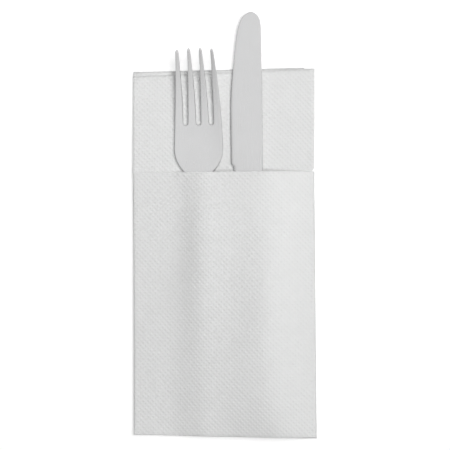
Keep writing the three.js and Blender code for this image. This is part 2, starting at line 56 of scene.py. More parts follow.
# The folded sheet.
SHEET = 0.26 * MM  # one embossed layer
LAYER_GAP = 0.16 * MM  # air between neighbouring layers
PITCH = SHEET + LAYER_GAP
REAR_PANEL = 98.8 * MM  # the rear panel reaches the right fold
INNER_PANEL = 93.7 * MM  # the innermost panel stops short of it
SETTLE_CLEAR = 1 * MM  # from the mouth up to where the layers start to settle
SETTLE_RUN = 48 * MM  # the layers settle together over this run
SETTLED = 0.35  # share of their height that they lose by it
FOLD_SPREAD = 1.4 * MM  # above the mouth the left fold spreads this far
FOLD_SPREAD_RUN = 3 * MM  # and it does so within this run
FOLD_PRESS = 0.4  # the left fold is pressed to this share of a half round's depth
TOP_SLANT = 2.5 * MM  # the front panel's top edge drops this far at the left fold
FOOT_SLANT = 0.7 * MM  # and its foot climbs this far at the right fold
REAR_DROP = 1.7 * MM  # the rear panel's top edge drops on by this much at its free edge
INNER_CLIMB = 0.8 * MM  # the innermost panel's top edge climbs this far at its free edge
STRAY_RUN = 2 * MM  # the side folds change their stray within this run above the mouth
RIPPLE, FINE_RIPPLE = 0.018, 0.010  # unevenness of the folded stack, as shares of its height

# How far each side fold, laid by hand, strays at the foot, at the mouth and above the mouth.
LEFT_STRAY = (0, -0.5 * MM, -0.1 * MM)
RIGHT_STRAY = (0.3 * MM, -1 * MM, 0.25 * MM)

# Points of the sheet's grid.
ABOVE_ROWS, SPREAD_ROWS, BEHIND_ROWS = 24, 6, 60  # down the back
REAR_COLUMNS, HIDDEN_COLUMNS = 16, 10  # across the rear panel and across each hidden one
FOLD_POINTS, LEFT_FOLD_POINTS, INNER_FOLD_POINTS = 7, 11, 8

# Where the cutlery lies.
LAYERS_UNDER = 10  # layers of paper under it
REST_GAP = 0.3 * MM  # cutlery to the paper under it
REST_HEIGHT = SHEET + (LAYERS_UNDER - 1) * PITCH + REST_GAP
FORK_FOOT = (-11.4 * MM, -96.5 * MM, REST_HEIGHT)
FORK_LEAN = math.radians(0.7)
KNIFE_FOOT = (16 * MM, -96.5 * MM, REST_HEIGHT)
KNIFE_LEAN = math.radians(0.8)

# The front panel's drape over the cutlery. SAG, BETWEEN_SAG and BULGE are curvatures per metre,
# and each run gives the places across the napkin between which the next one takes over.
DRAPE_GAP = 1.2 * MM  # cutlery to the paper over it
DRAPE_CELL = 1.4 * MM  # size of the front panel's grid
DRAPE_STEPS, SMOOTHING_STEPS = 2500, 24
SAG = 32.0  # how the slack paper sags beside the cutlery
BETWEEN_SAG = 6.4  # and between the fork and the knife
BULGE = 50.0  # how it bulges to the right of the knife
BULGE_LOSS = 0.4  # share of the bulge that is lost towards the mouth
BULGE_LOSS_RUN = (70 * MM, 5 * MM)  # below the mouth
SAG_RUN = (-33 * MM, -25 * MM)
BETWEEN_RUN = (-14 * MM, -5 * MM)
BULGE_RUN = (15 * MM, 27 * MM)
RIGHT_SAG_RUN = (39 * MM, 46 * MM)
CREST = 1.9 * MM  # how far the paper, bent over the fork, stays off the fork's middle
CREST_SHIFT = 4 * MM  # and how far right of it
FOOT_HOLD = 0.91  # how far the foot's fold follows the front panel's lift beside it
NOSE_RUN = 2.2 * MM  # the paper slopes down within this run past the handles' ends

# The fork's form.
FORK_END_ROUND = 8 * MM  # rounding of the handle's end
FORK_SHOULDER = 19 * MM  # the bowl's back, from its widest place to the neck
FORK_BOWL_BACK = 14.8 * MM  # from the tines' roots to the bowl's widest place
FORK_SEAT_BACK = 9.8 * MM  # and to its lowest place
FORK_NECK_BACK = 30 * MM  # from the bowl's widest place to the neck's narrowest
FORK_ARCH = 2 * MM  # how high the neck arches
FORK_DISH = 0.9 * MM  # how far the bowl's sides stand above its middle
FORK_CROWN = 0.3  # share of its thickness that the handle loses at its sides
FORK_TURN_RUN = 26 * MM  # rings lie closer within this run behind the bowl's widest place
FORK_ROOT_RUN = 5 * MM  # the rings bend round the gaps within this run before the roots
TINES = 4
TIP_THICK = 1.3 * MM  # at the tines' tips
TIP_ROUND = 1.6 * MM
OUTER_TINE_SHORT = 0.6 * MM  # the outer tines end this much before the inner ones
TINE_POINTS = 5  # across one tine's face
GAP_POINTS = 9  # round the end of one gap

# The eased edge all round the fork, from its face to its underside: how far in each point lies,
# as shares of the easing.
FORK_EASE = 0.35 * MM
EASE_CORNER = 0.293
EASED_IN = np.array([EASE_CORNER, 0, 0, EASE_CORNER])
SIDE_POINTS = len(EASED_IN)

# The knife's form. The blade's two sides are given as (share of the blade's length from the tip,
# share of its half width).
CUTTING_EDGE = [
    (0, 0.2), (0.018, -0.12), (0.044, -0.31), (0.1, -0.51), (0.19, -0.66),
    (0.27, -0.745), (0.35, -0.828), (0.48, -0.94), (0.62, -1), (1, -1),
]
SPINE = [
    (0, 0.42), (0.004, 0.54), (0.018, 0.72), (0.044, 0.868),
    (0.07, 0.934), (0.12, 0.972), (0.32, 0.985), (0.45, 1),
]
KNIFE_BELLY = 30 * MM  # from the handle's end to its thickest place
KNIFE_END_ROUND = 7 * MM  # rounding of the handle's end, seen from above
KNIFE_END_DROP = 4 * MM  # and from the side
KNIFE_END_RUN = 18 * MM  # rings lie closer within this run of the end
KNIFE_BUTT = 0.4  # the handle thins towards this share of its thickness past its end
KNIFE_ROUNDNESS = 0.85  # power of the handle's oval section
HEEL_RUN = 14 * MM  # from the neck to the blade's heel
BLADE_SHIFT = 0.35 * MM  # blade's middle to the left of the handle's axis
NOTCH_RUN = 2 * MM  # the cutting edge steps in at the heel within this run
SPINE_RUN = 20 * MM  # the spine runs on into the handle over this length
SPINE_STRIP = 0.6 * MM  # rounding of the spine
EDGE_THICK = 0.175 * MM  # half the thickness of the cutting edge
BEVEL_LEVEL = 0.5  # share of the blade's thickness where the bevel meets the face
BLADE_TIP_THICK = 1.3 * MM
BLADE_TIP_RUN = 14 * MM  # rings lie closer within this run of the tip
BEVEL_POINTS, FACE_POINTS, SPINE_POINTS = 4, 14, 7

STEEL_ROUGHNESS = 0.24

# The sky that the camera and the steel see: how bright it is round its middle and elsewhere,
# where its middle lies, how wide it is and where it fades.
SKY_HIGH, SKY_LOW = 1.0, 0.6
SKY_MIDDLE = (0.35, 0.22, 0)
SKY_SPAN = (1.45, 1.08, 1)
SKY_FADE = (0.45, 1.05)
SKY_SHARE = 0.07  # share of that brightness that lights the paper

# The lamp is aimed past the napkin, so that its light falls off towards the right and the foot.
LIGHT_SIZE = 0.75
LIGHT_PLACE = (0.375, 0.12, 1.10)
LIGHT_AIM = (-1.9, 1.1, 0)

FLOOR_REACH = 4.0
FLOOR_DROP = 0.1 * MM  # below the napkin
FLOOR_GLOW = 0.42  # what the lit floor lacks to be white
CAMERA_AIM = (0.82 * MM, 15.5 * MM, 4 * MM)  # the place that the camera leans about
CAMERA_LENS, CAMERA_SENSOR = 142.3, 36


def length(name, description, default):
    """A length that a user may change."""
    return FloatProperty(name=name, description=description, default=default, min=0.0,
                         unit="LENGTH", precision=4)


def colour(name, description, default):
    """A colour that a user may change."""
    return FloatVectorProperty(name=name, description=description, default=default,
                               subtype="COLOR", size=3, min=0.0, max=1.0)


class NapkinSettings(PropertyGroup):
    """Sizes and finish of the folded napkin. The axes of its folds are set by counts of layers."""

    width: length("Width", "Folded width", 0.1014)
    height: length("Height", "Folded height", 0.200)
    mouth_drop: length("Mouth drop", "From the top edge down to the pouch's mouth", 0.0555)
    emboss_pitch: length("Emboss pitch", "Distance between neighbouring embossed dots", 0.00205)
    emboss_depth: length("Emboss depth", "Depth of the embossed dots", 0.00012)
    paper: colour("Paper", "Colour of the paper", (0.8, 0.803, 0.8))

    @property
    def top(self):
        return self.height / 2

    @property
    def mouth(self):
        return self.top - self.mouth_drop

    @property
    def foot_axis(self):
        return PITCH + SHEET / 2 - self.top

    @property
    def mouth_axis(self):
        return self.mouth - (PITCH + SHEET) / 2

    @property
    def right_axis(self):
        return self.width / 2 - 2.5 * PITCH - SHEET / 2

    @property
    def settle_start(self):
        return self.mouth + SETTLE_CLEAR

    def left_axis(self, stand, y):
        """Axis of the left fold for how far the layers stand apart, as a half round."""
        spread = FOLD_SPREAD * smooth(y, self.mouth, self.mouth + FOLD_SPREAD_RUN)
        return -self.width / 2 + (2 * stand + 3.5) * PITCH + SHEET / 2 - spread

    def pressed_axis(self, stand, y):
        """Axis of the left fold once it is pressed, which leaves its outline in place."""
        pocket = 2 * (1 - smooth(y, self.mouth, self.mouth + FOLD_SPREAD_RUN))
        depth = (2 * stand + 1.5 + pocket) * PITCH + SHEET / 2
        return self.left_axis(stand, y) - (1 - FOLD_PRESS) * depth


class ForkSettings(PropertyGroup):
    """Sizes and finish of the fork."""

    length: length("Length", "From the end of the handle to the tips", 0.2078)
    handle_width: length("Handle width", "Widest place of the handle", 0.0185)
    handle_thick: length("Handle thickness", "Thickness of the handle", 0.0028)
    neck_width: length("Neck width", "Narrowest place of the handle", 0.007)
    neck_thick: length("Neck thickness", "Thickness of the neck", 0.0032)
    bowl_width: length("Bowl width", "Widest place of the bowl", 0.0269)
    bowl_thick: length("Bowl thickness", "Thickness of the bowl", 0.002)
    tine_length: length("Tine length", "From the roots to the tips", 0.040)
    tine_gap: length("Tine gap", "Between two tines at their roots", 0.0029)
    tip_spread: length("Tip spread", "Across all four tips", 0.0208)
    tip_width: length("Tip width", "Width of one tip", 0.0016)
    tip_rise: length("Tip rise", "How far the tips curve up", 0.0095)
    steel: colour("Steel", "Colour of the steel", (0.66, 0.66, 0.664))

    @property
    def root(self):
        return self.length - self.tine_length

    @property
    def seat(self):
        return self.root - FORK_SEAT_BACK

    @property
    def widest(self):
        return self.root - FORK_BOWL_BACK

    @property
    def neck(self):
        return self.widest - FORK_NECK_BACK


class KnifeSettings(PropertyGroup):
    """Sizes and finish of the knife."""

    length: length("Length", "From the end of the handle to the tip", 0.2276)
    handle_width: length("Handle width", "Widest place of the handle", 0.0185)
    handle_thick: length("Handle thickness", "Thickest place of the handle", 0.0076)
    neck_width: length("Neck width", "Width where handle and blade meet", 0.0154)
    neck_thick: length("Neck thickness", "Thickness where they meet", 0.0043)
    blade_length: length("Blade length", "From the heel to the tip", 0.082)
    blade_width: length("Blade width", "Widest place of the blade", 0.0174)
    spine_thick: length("Spine thickness", "Thickness of the blade at its spine", 0.0019)
    bevel: length("Bevel", "Ground strip along the cutting edge", 0.0012)
    steel: colour("Steel", "Colour of the steel", (0.66, 0.66, 0.664))

    @property
    def heel(self):
        return self.length - self.blade_length

    @property
    def neck(self):
        return self.heel - HEEL_RUN


class StageSettings(PropertyGroup):
    """Floor, light and camera."""

    floor: colour("Floor", "Colour of the floor", (0.8, 0.8, 0.8))
    light_power: FloatProperty(name="Light power", description="Strength of the soft light",
                               default=17.5, min=0.0, unit="POWER")
    camera_tilt: FloatProperty(name="Camera tilt", description="Camera's lean to the right",
                               default=math.radians(12), subtype="ANGLE")
    camera_distance: length("Camera distance", "From the camera to the napkin", 0.97)


# Small tools.

def smooth(at, low, high):
    """0 below low, 1 above high and a smooth ramp between."""
    f = np.clip((at - low) / (high - low), 0, 1)
    return f * f * (3 - 2 * f)


def blend(a, b, f):
    """From a at 0 to b at 1."""
    return a + (b - a) * f


def through(knots, at):
    """A smooth curve through (place, value) knots."""
    place, value = np.array(knots, float).T
    slope = np.empty_like(value)
    slope[1:-1] = (value[2:] - value[:-2]) / (place[2:] - place[:-2])
    slope[0] = (value[1] - value[0]) / (place[1] - place[0])
    slope[-1] = (value[-1] - value[-2]) / (place[-1] - place[-2])
    at = np.clip(at, place[0], place[-1])
    i = np.clip(np.searchsorted(place, at, "right") - 1, 0, len(place) - 2)
    span = place[i + 1] - place[i]
    f = (at - place[i]) / span
    g = 1 - f
    ends = value[i] * g * g * (1 + 2 * f) + value[i + 1] * f * f * (1 + 2 * g)
    return ends + span * f * g * (slope[i] * g - slope[i + 1] * f)


def end_round(inside, radius, blunt):
    """Share of the full width at a place that lies inside a rounded end."""
    past = 1 - np.clip(inside / radius, 0, 1)
    return np.maximum(np.sqrt(1 - past * past), blunt)


def ring_bands(rings):
    """Faces between rings of point numbers that run the same way round."""
    faces = []
    for low, high in zip(rings[:-1], rings[1:]):
        turned = np.roll(low, -1), np.roll(high, -1)
        faces += np.stack([low, turned[0], turned[1], high], 1).tolist()
    return faces


class Skin:
    """Points and faces of a piece while it is made."""

    def __init__(self):
        self.points = []
        self.faces = []

    def add(self, points):
        start = len(self.points)
        self.points += np.asarray(points).tolist()
        return np.arange(start, len(self.points))


def new_piece(name, points, faces, material):
    """A smooth closed piece whose faces all look outwards."""
    mesh = bpy.data.meshes.new(name)
    mesh.from_pydata(points, [], faces)
    mesh.materials.append(material)
    sides = bmesh.new()
    sides.from_mesh(mesh)
    bmesh.ops.recalc_face_normals(sides, faces=sides.faces)
    sides.to_mesh(mesh)
    sides.free()
    mesh.shade_smooth()
    piece = bpy.data.objects.new(name, mesh)
    bpy.context.scene.collection.objects.link(piece)
    return piece


def lay(piece, foot, lean):
    """Lays a piece of cutlery on the napkin."""
    piece.location = foot
    piece.rotation_euler = (0, 0, lean)
    even = piece.modifiers.new("even_shading", "WEIGHTED_NORMAL")
    even.keep_sharp = True


# Fork: q runs from the end of the handle to the tips, x across.

def fork_half(fork, q):
    """Half the outline's width."""
    wide, narrow = fork.handle_width, fork.neck_width
    handle = through([
        (0, wide * 0.47), (fork.neck * 0.11, wide * 0.5), (fork.neck * 0.34, wide * 0.44),
        (fork.neck * 0.66, (wide + narrow) * 0.2), (fork.neck, narrow / 2),
        (fork.widest, narrow / 2),
    ], q) * end_round(q, FORK_END_ROUND, blunt=0.3)
    handle = np.where(q < fork.widest, handle, 0)
    back = np.clip((fork.widest - q) / FORK_SHOULDER, 0, 1)
    taper = np.clip((q - fork.widest) / (fork.length - fork.widest), 0, 1) ** 1.35
    bowl = blend(fork.bowl_width, fork.tip_spread, taper) / 2 * (1 - back ** 2)
    return (handle ** 5 + bowl ** 5) ** 0.2


def fork_rise(fork, q):
    """Height of the underside along the middle: an arched neck, a low bowl and lifted tips."""
    seat = fork.seat
    tips = fork.tip_rise * (np.maximum(q - seat, 0) / (fork.length - seat)) ** 2
    arch = FORK_ARCH * np.sin(np.pi * (np.clip(q, 0, seat) / seat) ** 1.4) ** 2
    return np.where(q > seat, tips, arch)


def fork_thick(fork, q):
    """Thickness along the middle."""
    return through([
        (0, fork.handle_thick * 0.45), (fork.neck * 0.25, fork.handle_thick),
        (fork.neck, fork.neck_thick), (fork.widest, fork.bowl_thick),
        (fork.root, fork.bowl_thick * 0.95), (fork.length, TIP_THICK),
    ], q)


def fork_dish(fork, q):
    """How far the bowl's sides stand above its middle."""
    return FORK_DISH * smooth(q, fork.widest - FORK_SHOULDER, fork.seat)


def fork_crown(fork, q):
    """How much thinner the handle is at its sides than in the middle."""
    return FORK_CROWN * fork_thick(fork, q) * (1 - smooth(q, fork.neck, fork.widest))


def fork_points(fork, x, q, level):
    """Points of the fork: level 0 is its underside and 1 its face."""
    share = (x / fork_half(fork, q)) ** 2
    thick = fork_thick(fork, q) - fork_crown(fork, q) * share
    z = fork_rise(fork, q) + fork_dish(fork, q) * share + thick * level
    return np.stack([x, q + 0 * x, z], -1)


def tine_sides(fork, q):
    """Left and right sides of the tines."""
    f = np.clip((q - fork.root) / fork.tine_length, 0, 1)
    root_width = (2 * fork_half(fork, fork.root) - (TINES - 1) * fork.tine_gap) / TINES
    width = blend(root_width, fork.tip_width, f ** 1.2)
    step = (2 * fork_half(fork, q) - width) / (TINES - 1)
    middles = [(tine - (TINES - 1) / 2) * step for tine in range(TINES)]
    return [(middle - width / 2, middle + width / 2) for middle in middles]


def gap_round(fork, gap, ease):
    """The round that ends one gap between two tines, from left to right."""
    sides = tine_sides(fork, fork.root)
    middle = (sides[gap][1] + sides[gap + 1][0]) / 2
    radius = fork.tine_gap / 2 + ease
    turn = np.linspace(0, np.pi, GAP_POINTS)
    return middle - radius * np.cos(turn), fork.root - radius * np.sin(turn)


def root_line(fork):
    """Places across the roots of the tines, round the ends of the gaps."""
    x, q = [], []
    for tine, (left, right) in enumerate(tine_sides(fork, fork.root)):
        x.append(np.linspace(left + FORK_EASE, right - FORK_EASE, TINE_POINTS))
        q.append(np.full(TINE_POINTS, fork.root))
        if tine < TINES - 1:
            gap_x, gap_q = gap_round(fork, tine, FORK_EASE)
            x.append(gap_x[1:-1])
            q.append(gap_q[1:-1])
    return np.concatenate(x), np.concatenate(q)


def eased_levels(fork, q):
    """Levels of the points down the eased edge."""
    ease = FORK_EASE / fork_thick(fork, q)
    return np.array([1 - EASE_CORNER * ease, 1 - ease, ease, EASE_CORNER * ease])


def ring_places(face, side):
    """Places across a ring: face, right side, underside, left side."""
    return np.concatenate([face, side, face[::-1], -side[::-1]])


def ring_levels(fork, count, q):
    """Levels round a ring with that many points across its face."""
    eased = eased_levels(fork, q)
    return np.concatenate([np.ones(count), eased, np.zeros(count), eased[::-1]])


def fork_ring(fork, face_x, face_q, half, q):
    """One ring round the handle or the bowl."""
    x = ring_places(face_x, half - FORK_EASE * EASED_IN)
    beside = np.full(SIDE_POINTS, q)
    along = np.concatenate([face_q, beside, face_q[::-1], beside])
    return fork_points(fork, x, along, ring_levels(fork, len(face_x), q))


def ring_parts(ring):
    """A ring's face, right side, underside and left side, the first and third from left to right."""
    count = len(ring) // 2 - SIDE_POINTS
    ends = [count, count + SIDE_POINTS, 2 * count + SIDE_POINTS]
    face, right, under, left = np.split(ring, ends)
    return face, right, under[::-1], left


def fork_stations(fork):
    """Places along the handle and the bowl, closer together where the outline turns."""
    end = np.array([0, 0.15, 0.5, 1, 1.7, 2.6, 3.8, 5.2, 6.6]) * MM
    turn = fork.widest - FORK_TURN_RUN
    handle = np.linspace(FORK_END_ROUND, turn, 44, endpoint=False)
    shoulder = np.linspace(turn, fork.widest, 36, endpoint=False)
    bowl = np.linspace(fork.widest, fork.root - FORK_ROOT_RUN, 8)
    return np.concatenate([end, handle, shoulder, bowl])


def fork_body(fork, skin):
    """Handle and bowl; returns the last ring, at the roots of the tines."""
    root_x, root_q = root_line(fork)
    root_half = float(fork_half(fork, fork.root))
    inner = root_half - FORK_EASE
    rings = []
    for q in fork_stations(fork):
        half = float(fork_half(fork, q))
        ring_x = root_x / inner * (half - FORK_EASE)
        rings.append(skin.add(fork_ring(fork, ring_x, np.full(len(root_x), q), half, q)))
    last_q = q
    for f in (0.3, 0.6, 0.82, 1):
        q = blend(last_q, fork.root, f)
        half = blend(half, root_half, f)
        along = blend(last_q, root_q, f)
        ring_x = blend(ring_x, root_x, f)
        rings.append(skin.add(fork_ring(fork, ring_x, along, half, q)))
    skin.faces += ring_bands(rings)
    end_cap(skin, rings[0])
    return rings[-1]


def end_cap(skin, ring):
    """Closes the end of the handle between its face and its underside."""
    face, right, under, left = ring_parts(ring)
    skin.faces += np.stack([face[1:], face[:-1], under[:-1], under[1:]], 1).tolist()
    skin.faces.append(np.concatenate([face[-1:], right, under[-1:]]).tolist())
    skin.faces.append(np.concatenate([under[:1], left, face[:1]]).tolist())


def gap_walls(fork, skin, ring):
    """Walls at the ends of the gaps; returns the lines of points on each wall."""
    face, _, under, _ = ring_parts(ring)
    level = eased_levels(fork, fork.root)
    walls = []
    for gap in range(TINES - 1):
        first = TINE_POINTS - 1 + gap * (TINE_POINTS + GAP_POINTS - 2)
        lines = []
        for inward, height in zip(EASED_IN, level):
            x, q = gap_round(fork, gap, FORK_EASE * inward)
            lines.append(skin.add(fork_points(fork, x, q, height)))
        grid = [face[first:first + GAP_POINTS], *lines, under[first:first + GAP_POINTS]]
        for upper, lower in zip(grid[:-1], grid[1:]):
            strip = [upper[:-1], upper[1:], lower[1:], lower[:-1]]
            skin.faces += np.stack(strip, 1).tolist()
        walls.append(lines)
    return walls


def tine_end(fork, tine):
    """The two outer tines end a little short of the inner ones."""
    return fork.length - (OUTER_TINE_SHORT if tine in (0, TINES - 1) else 0)


def tine_ring(fork, tine, q):
    """One ring round a tine, drawn in at its rounded tip."""
    shrink = float(end_round(tine_end(fork, tine) - q, TIP_ROUND, blunt=0.3))
    left, right = tine_sides(fork, q)[tine]
    middle, half = (left + right) / 2, (right - left) / 2 * shrink
    ease = min(FORK_EASE * shrink, half * 0.7)
    face = np.linspace(ease - half, half - ease, TINE_POINTS)
    x = middle + ring_places(face, half - ease * EASED_IN)
    level = 0.5 + (ring_levels(fork, TINE_POINTS, q) - 0.5) * shrink
    return fork_points(fork, x, np.full(len(x), q), level)


def fork_tines(fork, skin, ring, walls):
    """The tines, each from its root and the walls beside it to its tip."""
    face, right, under, left = ring_parts(ring)
    shares = np.concatenate([np.linspace(0.03, 0.94, 22), [0.965, 0.98, 0.99, 0.997, 1]])
    for tine in range(TINES):
        first = tine * (TINE_POINTS + GAP_POINTS - 2)
        own = slice(first, first + TINE_POINTS)
        own_right = right if tine == TINES - 1 else [line[0] for line in walls[tine]]
        own_left = left if tine == 0 else [line[-1] for line in walls[tine - 1][::-1]]
        rings = [np.concatenate([face[own], own_right, under[own][::-1], own_left])]
        for f in shares:
            q = blend(fork.root, tine_end(fork, tine), f)
            rings.append(skin.add(tine_ring(fork, tine, q)))
        skin.faces += ring_bands(rings)
        skin.faces.append(rings[-1].tolist())


class POUCH_OT_fork(Operator):
    """Form the fork: one stamped piece with an arched neck, a dished bowl and four tines"""

    bl_idname = "pouch.fork"
    bl_label = "Form the fork"

    def execute(self, context):
        fork = context.scene.pouch_fork
        skin = Skin()
        ring = fork_body(fork, skin)
        fork_tines(fork, skin, ring, gap_walls(fork, skin, ring))
        steel = steel_finish("fork_steel_finish", fork.steel)
        piece = new_piece("table_fork", skin.points, skin.faces, steel)
        lay(piece, FORK_FOOT, FORK_LEAN)
        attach(piece, "root")
        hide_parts("fork")
        return {"FINISHED"}


# Knife: q runs from the end of the handle to the tip of the blade, x across.

def knife_sharp(knife, q):
    """How far the section has turned from the handle's oval into the blade's wedge."""
    return smooth(q, knife.neck, blend(knife.neck, knife.heel, 0.7))


def knife_sides(knife, q):
    """Left and right sides of the outline."""
    wide, narrow = knife.handle_width, knife.neck_width
    handle = through([
        (0, wide * 0.47), (KNIFE_BELLY, wide * 0.5), (knife.neck * 0.5, (wide + narrow) * 0.27),
        (knife.neck, narrow / 2), (knife.heel, narrow / 2),
    ], q) * end_round(q, KNIFE_END_ROUND, blunt=0.35)
    from_tip = (knife.length - q) / knife.blade_length
    left = through(CUTTING_EDGE, from_tip) * knife.blade_width / 2 - BLADE_SHIFT
    right = through(SPINE, from_tip) * knife.blade_width / 2 - BLADE_SHIFT
    notch = smooth(q, knife.heel - NOTCH_RUN, knife.heel)
    flush = smooth(q, knife.heel - SPINE_RUN, knife.heel)
    return blend(-handle, left, notch), blend(handle, right, flush)


def knife_butt(q):
    """How the handle thins towards its end."""
    return blend(KNIFE_BUTT, 1, smooth(q, -KNIFE_BELLY / 2, KNIFE_BELLY))


def knife_middle(knife, q):
    """Height of the middle plane: the handle lies along the paper, the blade stands clear."""
    f = np.maximum(q - KNIFE_BELLY, 0) / (knife.neck - KNIFE_BELLY)
    return blend(knife.handle_thick, knife.neck_thick, f) / 2 * knife_butt(q)


def knife_half_thick(knife, q):
    """Half the thickness along the middle."""
    handle = knife_middle(knife, q) * end_round(q, KNIFE_END_DROP, blunt=0.5)
    f = np.clip((q - knife.heel) / knife.blade_length, 0, 1)
    blade = blend(knife.spine_thick, BLADE_TIP_THICK, f) / 2
    return blend(handle, blade, knife_sharp(knife, q))


def blade_section(knife, left, right, thick):
    """Half the blade's section: cutting edge, ground bevel, face and rounded spine."""
    width = right - left
    edge = min(EDGE_THICK, width * 0.1)
    bevel = min(knife.bevel, width * 0.3)
    strip = min(SPINE_STRIP, width * 0.2)
    ground = np.linspace(0, 1, BEVEL_POINTS)
    face = np.linspace(0, 1, FACE_POINTS)[1:]
    turn = np.linspace(0, np.pi / 2, SPINE_POINTS)[1:]
    x = np.concatenate([
        [left], left + blend(edge, bevel, ground),
        blend(left + bevel, right - strip, face), right - strip + strip * np.sin(turn),
    ])
    z = np.concatenate([
        [0], blend(edge, thick * BEVEL_LEVEL, ground),
        thick * blend(BEVEL_LEVEL, 1, face ** 0.75), thick * np.cos(turn),
    ])
    return x, z


def knife_ring(knife, q):
    """One ring: over the face from the cutting edge to the spine and back along the underside."""
    left, right = (float(side) for side in knife_sides(knife, q))
    thick, sharp = float(knife_half_thick(knife, q)), float(knife_sharp(knife, q))
    blade_x, blade_z = blade_section(knife, left, right, thick)
    turn = np.pi * np.linspace(1, 0, len(blade_x))
    across = np.sign(np.cos(turn)) * np.abs(np.cos(turn)) ** KNIFE_ROUNDNESS
    oval_x = (left + right + across * (right - left)) / 2
    oval_z = thick * np.clip(np.sin(turn), 0, 1) ** KNIFE_ROUNDNESS
    x, z = blend(oval_x, blade_x, sharp), blend(oval_z, blade_z, sharp)
    middle = knife_middle(knife, q)
    x = np.concatenate([x, x[-2:0:-1]])
    z = np.concatenate([middle + z, middle - z[-2:0:-1]])
    return np.stack([x, np.full(len(x), q), z], -1)


def knife_stations(knife):
    """Places along the knife, closer together at its ends and at the heel."""
    end = np.array([0, 0.1, 0.4, 0.9, 1.6, 2.5, 3.6, 5, 7, 10, 14]) * MM
    handle = np.linspace(KNIFE_END_RUN, knife.neck, 36, endpoint=False)
    heel = np.linspace(knife.neck, knife.heel, 18, endpoint=False)
    blade = np.linspace(knife.heel, knife.length - BLADE_TIP_RUN, 34, endpoint=False)
    tip = knife.length - BLADE_TIP_RUN * np.linspace(1, 0, 30) ** 1.7
    return np.concatenate([end, handle, heel, blade, tip])


class POUCH_OT_knife(Operator):
    """Forge the knife: an oval handle that turns into a ground blade with a round tip"""

    bl_idname = "pouch.knife"
    bl_label = "Forge the knife"

    def execute(self, context):
        knife = context.scene.pouch_knife
        skin = Skin()
        rings = [skin.add(knife_ring(knife, q)) for q in knife_stations(knife)]
        skin.faces += ring_bands(rings)
        skin.faces += [rings[0].tolist(), rings[-1].tolist()]
        steel = steel_finish("knife_steel_finish", knife.steel)
        piece = new_piece("table_knife", skin.points, skin.faces, steel)
        lay(piece, KNIFE_FOOT, KNIFE_LEAN)
        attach(piece, "root")
        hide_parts("knife")
        return {"FINISHED"}


# Napkin: the height course runs down the back, round the foot, up the front, over the mouth and
# down the hem inside; the width course runs rear panel, front panel, inner and innermost panel.

def own_place(x, y, foot, lean):
    """A place on the napkin, in the frame of a piece of cutlery."""
    dx, dy = x - foot[0], y - foot[1]
    return dx * math.cos(lean) + dy * math.sin(lean), dy * math.cos(lean) - dx * math.sin(lean)


def nose(q):
    """1 along a piece of cutlery, falling to 0 just past the end of its handle."""
    return np.sqrt(np.clip(1 - (np.minimum(q, 0) / NOSE_RUN) ** 2, 0, 1))


def fork_top(fork, x, y):
    """Height of the fork's face over a place on the napkin, 0 beside it."""
    across, q = own_place(x, y, FORK_FOOT, FORK_LEAN)
    inside = np.clip(q, 0, fork.root)
    half = fork_half(fork, np.maximum(inside, FORK_END_ROUND))
    share = np.clip(np.abs(across) / half, 0, 1) ** 2
    z = fork_rise(fork, inside) + fork_thick(fork, inside)
    z = z + (fork_dish(fork, inside) - fork_crown(fork, inside)) * share
    z = z + CREST * np.clip(1 - ((across - CREST_SHIFT) / half) ** 2, 0, 1)
    return np.where(np.abs(across) <= half * nose(q), z * nose(q), 0)


def knife_top(knife, x, y):
    """Height of the knife's face over a place on the napkin, 0 beside it."""
    across, q = own_place(x, y, KNIFE_FOOT, KNIFE_LEAN)
    inside = np.clip(q, 0, knife.length)
    left, right = knife_sides(knife, np.maximum(inside, KNIFE_END_ROUND))
    share = np.clip((2 * across - left - right) / (right - left), -1, 1)
    dome = (1 - np.abs(share) ** (2 / KNIFE_ROUNDNESS)) ** (KNIFE_ROUNDNESS / 2)
    z = knife_middle(knife, inside) + knife_half_thick(knife, inside) * dome
    return np.where(np.abs(share) <= nose(q) * 0.999, z * nose(q), 0)


def drape_curve(napkin, x, y):
    """How the front panel would curve across if nothing lay under it."""
    low, high = BULGE_LOSS_RUN
    bulge = BULGE * (1 - BULGE_LOSS * smooth(y, napkin.mouth - low, napkin.mouth - high))
    curve = SAG * smooth(x, *SAG_RUN)
    curve = blend(curve, BETWEEN_SAG, smooth(x, *BETWEEN_RUN))
    curve = blend(curve, -bulge, smooth(x, *BULGE_RUN))
    return blend(curve, SAG, smooth(x, *RIGHT_SAG_RUN))


def beside_mean(lift):
    """Mean of the four neighbours of each place."""
    wide = np.pad(lift, 1, mode="edge")
    return (wide[:-2, 1:-1] + wide[2:, 1:-1] + wide[1:-1, :-2] + wide[1:-1, 2:]) / 4


def drape(napkin, fork, knife, x, y):
    """Lift of the front panel over the cutlery: a slack sheet, held at both sides and at the
    foot and free at the mouth, laid over what it covers."""
    across, up = np.meshgrid(x, y)
    top = np.maximum(fork_top(fork, across, up), knife_top(knife, across, up))
    held = np.where(top > 0, top + REST_GAP + DRAPE_GAP + SHEET - PITCH, 0)
    load = drape_curve(napkin, across, up) * (x[1] - x[0]) ** 2 / 4
    lift = held.copy()
    for _ in range(DRAPE_STEPS):
        lift = np.maximum(beside_mean(lift) - load, held)
        lift[0] = FOOT_HOLD * lift[1]
        lift[:, 0] = lift[:, -1] = 0
    for _ in range(SMOOTHING_STEPS):
        lift[1:, 1:-1] = (lift + beside_mean(lift))[1:, 1:-1] / 2
    return lift


